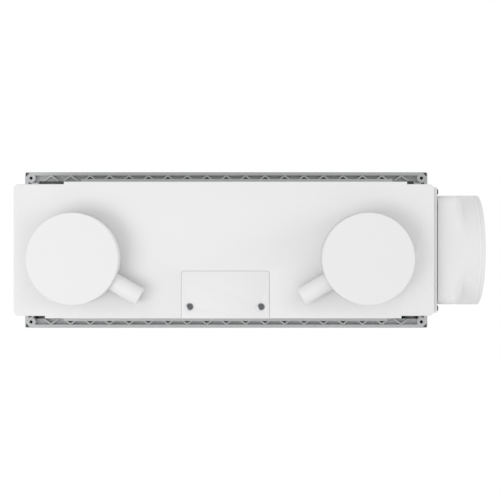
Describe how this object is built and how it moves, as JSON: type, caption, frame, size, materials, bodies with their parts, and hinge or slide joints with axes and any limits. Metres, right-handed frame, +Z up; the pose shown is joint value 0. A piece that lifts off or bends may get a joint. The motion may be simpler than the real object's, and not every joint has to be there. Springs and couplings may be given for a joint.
{
  "type": "heat recovery unit",
  "caption": "Wall-recessed heat recovery ventilation unit: white rear housing with two capped duct collars, drain nozzles, side spigot, ribbed grey mounting frame and hinged front panel.",
  "frame": {"origin": "middle of the mounting frame's back plane, which rests on the wall", "axes": "+X along the frame away from the side spigot, +Y out of the room into the wall, +Z up"},
  "size_m": [0.669, 0.2523, 0.236],
  "materials": {
    "white_housing": "white moulded ABS, fine matt grain",
    "white_panel": "white moulded ABS, satin",
    "grey_frame": "grey moulded ABS with stiffening ribs",
    "light_grey_plastic": "light grey moulded plastic",
    "coated_sheet": "light grey coated sheet steel",
    "zinc_steel": "zinc-plated steel",
    "dark_screw": "blackened steel",
    "magnet": "nickel-plated magnet",
    "black_plastic": "black glass-filled nylon",
    "green_terminal": "green terminal block",
    "rubber_seal": "EPDM rubber",
    "white_seal": "white thermoplastic rubber",
    "core_plastic": "thin polystyrene plates",
    "foam": "expanded polypropylene foam",
    "filter_fleece": "pleated filter fleece",
    "circuit_board": "green circuit board",
    "status_lens": "clear light guide"
  },
  "bodies": {
    "root": {"rear_housing": "white_housing", "mounting_frame": "grey_frame", "top_case_rail": "coated_sheet", "bottom_case_rail": "coated_sheet", "case_rail_screws": "zinc_steel", "hinge_brackets": "zinc_steel", "hinge_pins": "zinc_steel", "catch_magnets": "magnet", "outdoor_collar": "white_housing", "exhaust_collar": "white_housing", "outdoor_drain_nozzle": "white_housing", "exhaust_drain_nozzle": "white_housing", "terminal_cover": "white_housing", "terminal_cover_screws": "dark_screw", "terminal_box": "light_grey_plastic", "terminal_block": "green_terminal", "cable_grommet": "rubber_seal", "side_gasket": "rubber_seal", "side_flange": "white_housing", "side_flange_screws": "dark_screw", "side_adapter": "white_housing", "spigot_seal": "white_seal", "exchanger_core": "core_plastic", "core_end_seals": "rubber_seal", "outdoor_bulkhead": "foam", "exhaust_bulkhead": "foam", "control_divider": "foam", "passage_divider": "foam", "outdoor_filter_frame": "light_grey_plastic", "outdoor_filter_medium": "filter_fleece", "room_filter_frame": "light_grey_plastic", "room_filter_medium": "filter_fleece", "inner_cover": "foam", "inner_cover_posts": "light_grey_plastic", "inner_cover_screws": "zinc_steel", "condensate_tray": "light_grey_plastic", "bypass_bearings": "light_grey_plastic", "bypass_motor": "black_plastic", "rear_foam": "foam", "control_box": "light_grey_plastic", "control_board": "circuit_board", "air_sensors": "black_plastic", "supply_fan_casing": "black_plastic", "supply_fan_motor": "black_plastic", "supply_fan_gasket": "rubber_seal", "exhaust_fan_casing": "black_plastic", "exhaust_fan_motor": "black_plastic", "exhaust_fan_gasket": "rubber_seal"},
    "panel": {"front_panel": "white_panel", "button_board": "circuit_board", "status_lens": "status_lens", "catch_plates": "zinc_steel"},
    "button": {"mode_button": "white_panel"},
    "supply_wheel": {"supply_impeller": "black_plastic"},
    "exhaust_wheel": {"exhaust_impeller": "black_plastic"},
    "flap": {"bypass_flap": "black_plastic"},
    "cap_outdoor": {"outdoor_cap": "white_housing"},
    "cap_exhaust": {"exhaust_cap": "white_housing"}
  },
  "joints": [
    {"name": "panel_hinge", "type": "hinge", "parent": "root", "child": "panel", "pos_m": [0, -0.022, -0.1145], "axis": [1, 0, 0], "range_deg": [0, 75]},
    {"name": "button_press", "type": "slide", "parent": "panel", "child": "button", "axis": [0, 1, 0], "range_m": [0, 0.0015], "stiffness_N_per_m": 300, "springref_m": -0.001},
    {"name": "supply_fan_spin", "type": "hinge", "parent": "root", "child": "supply_wheel", "pos_m": [0.204, 0.15, -0.012], "axis": [0, 1, 0], "continuous": true},
    {"name": "exhaust_fan_spin", "type": "hinge", "parent": "root", "child": "exhaust_wheel", "pos_m": [-0.196, 0.15, -0.012], "axis": [0, 1, 0], "continuous": true},
    {"name": "bypass_turn", "type": "hinge", "parent": "root", "child": "flap", "pos_m": [0.096, 0.07, 0.08], "axis": [0, 1, 0], "range_deg": [0, 75]},
    {"name": "outdoor_cap_pull", "type": "slide", "parent": "root", "child": "cap_outdoor", "axis": [0, 1, 0], "range_m": [0, 0.03]},
    {"name": "exhaust_cap_pull", "type": "slide", "parent": "root", "child": "cap_exhaust", "axis": [0, 1, 0], "range_m": [0, 0.03]}
  ]
}
